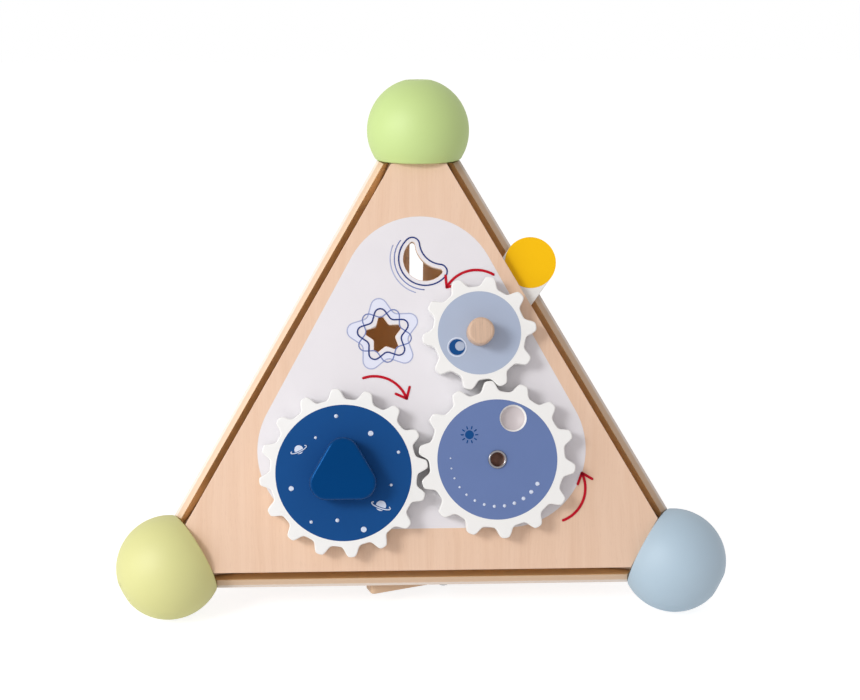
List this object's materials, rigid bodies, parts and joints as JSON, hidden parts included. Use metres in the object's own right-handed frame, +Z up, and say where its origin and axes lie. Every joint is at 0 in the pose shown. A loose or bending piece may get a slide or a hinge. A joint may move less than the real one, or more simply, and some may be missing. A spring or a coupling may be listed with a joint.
{
  "type": "wooden crank gear toy",
  "caption": "Wooden toy pyramid of plywood triangles joined by corner balls, with meshing crank gears, a pointer arm behind cut-out windows and a latched hatch in its base.",
  "frame": {"origin": "middle of the footprint's bounding box, on the floor that the three lower balls stand on", "axes": "+Z up, -Y towards the gear panel's side, +X to the right as seen from the gear panel's side"},
  "size_m": [0.3522, 0.313, 0.2975],
  "materials": {
    "plywood": "clear-lacquered maple plywood, satin",
    "bare_wood": "natural solid wood, satin",
    "white_paint": "wood under satin white paint",
    "navy_paint": "wood under satin navy paint",
    "yellow_paint": "wood under satin yellow paint",
    "blue_print": "printed blue on painted wood",
    "red_print": "printed red on painted wood",
    "green_paint": "turned wood under matt pale green paint",
    "lime_paint": "turned wood under matt pale lime paint",
    "pale_blue_paint": "turned wood under matt pale blue paint",
    "apricot_paint": "turned wood under matt pale apricot paint",
    "steel": "zinc-plated steel",
    "nylon": "natural nylon"
  },
  "bodies": {
    "frame": {"gear_panel": "plywood", "left_panel": "plywood", "right_panel": "plywood", "base_panel": "plywood", "top_corner_block": "bare_wood", "left_corner_block": "bare_wood", "right_corner_block": "bare_wood", "back_corner_block": "bare_wood", "top_ball": "green_paint", "top_ball_plug": "green_paint", "top_ball_screw": "steel", "left_ball": "lime_paint", "left_ball_plug": "lime_paint", "left_ball_screw": "steel", "right_ball": "pale_blue_paint", "right_ball_plug": "pale_blue_paint", "right_ball_screw": "steel", "back_ball": "apricot_paint", "back_ball_plug": "apricot_paint", "back_ball_screw": "steel", "middle_gear_rivet": "steel", "rivet_washer": "steel", "hatch_pin_left": "steel", "hatch_pin_right": "steel", "turn_button_washer": "steel", "turn_button_screw": "steel", "big_gear_spacer": "nylon", "middle_gear_spacer": "nylon", "small_gear_spacer": "nylon", "big_rear_washer": "nylon", "small_rear_washer": "nylon"},
    "big_gear_set": {"big_gear": "white_paint", "triangle_knob": "navy_paint", "big_gear_axle": "bare_wood", "big_axle_screw": "steel"},
    "middle_gear_set": {"middle_gear": "white_paint"},
    "small_gear_set": {"small_gear": "white_paint", "small_gear_peg": "bare_wood", "pointer_arm": "white_paint", "pointer_arm_screw": "steel"},
    "hatch": {"base_hatch": "plywood"},
    "button": {"turn_button": "bare_wood"}
  },
  "joints": [
    {"name": "big_gear_spin", "type": "hinge", "parent": "frame", "child": "big_gear_set", "pos_m": [-0.0445, -0.12694, 0.08684], "axis": [0, -0.9428, 0.3333], "continuous": true},
    {"name": "middle_gear_spin", "type": "hinge", "parent": "frame", "child": "middle_gear_set", "pos_m": [0.04219, -0.12477, 0.09299], "axis": [0, -0.9428, 0.3333], "continuous": true},
    {"name": "small_gear_spin", "type": "hinge", "parent": "frame", "child": "small_gear_set", "pos_m": [0.033, -0.10087, 0.16057], "axis": [0, -0.9428, 0.3333], "continuous": true},
    {"name": "hatch_swing", "type": "hinge", "parent": "frame", "child": "hatch", "pos_m": [0, -0.01116, 0.02015], "axis": [1, 0, 0], "range_deg": [0, 110]},
    {"name": "button_turn", "type": "hinge", "parent": "frame", "child": "button", "pos_m": [0.0128, -0.10316, 0.01335], "axis": [0, 0, -1], "continuous": true}
  ],
  "couplings": [
    {"joint": "middle_gear_spin", "follows": "big_gear_spin", "ratio": -1.1429},
    {"joint": "small_gear_spin", "follows": "big_gear_spin", "ratio": 1.6}
  ]
}
